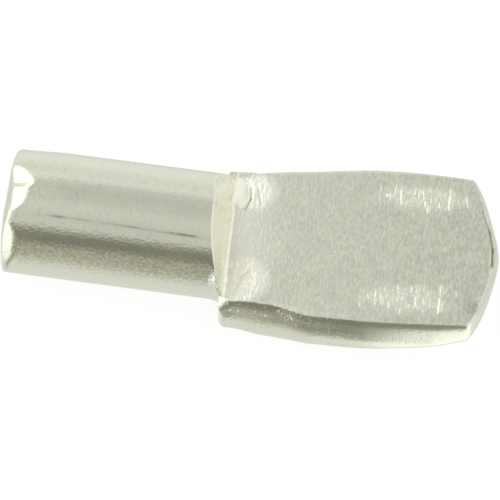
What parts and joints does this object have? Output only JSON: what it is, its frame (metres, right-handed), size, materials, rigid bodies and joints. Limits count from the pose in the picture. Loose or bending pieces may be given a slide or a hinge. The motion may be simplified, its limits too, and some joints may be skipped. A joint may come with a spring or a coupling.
{
  "type": "shelf support pin",
  "caption": "Metal shelf support pin: a round shank that pushes into a cabinet side, and a flattened spoon-shaped blade whose flat top carries the shelf.",
  "frame": {"origin": "on the shank's axis, at the foot of the step where the flat of the blade begins", "axes": "-X along the shank to its free end, +X to the tip of the blade, +Z out of the flat face that the shelf lies on, +Y to the left of the blade seen from the shank"},
  "size_m": [0.0194, 0.008, 0.0051],
  "materials": {
    "nickel_plate": "dull nickel plate with a warm, faintly green tint, press marks and fine grain"
  },
  "bodies": {
    "root": {"shelf_pin": "nickel_plate"}
  },
  "joints": []
}
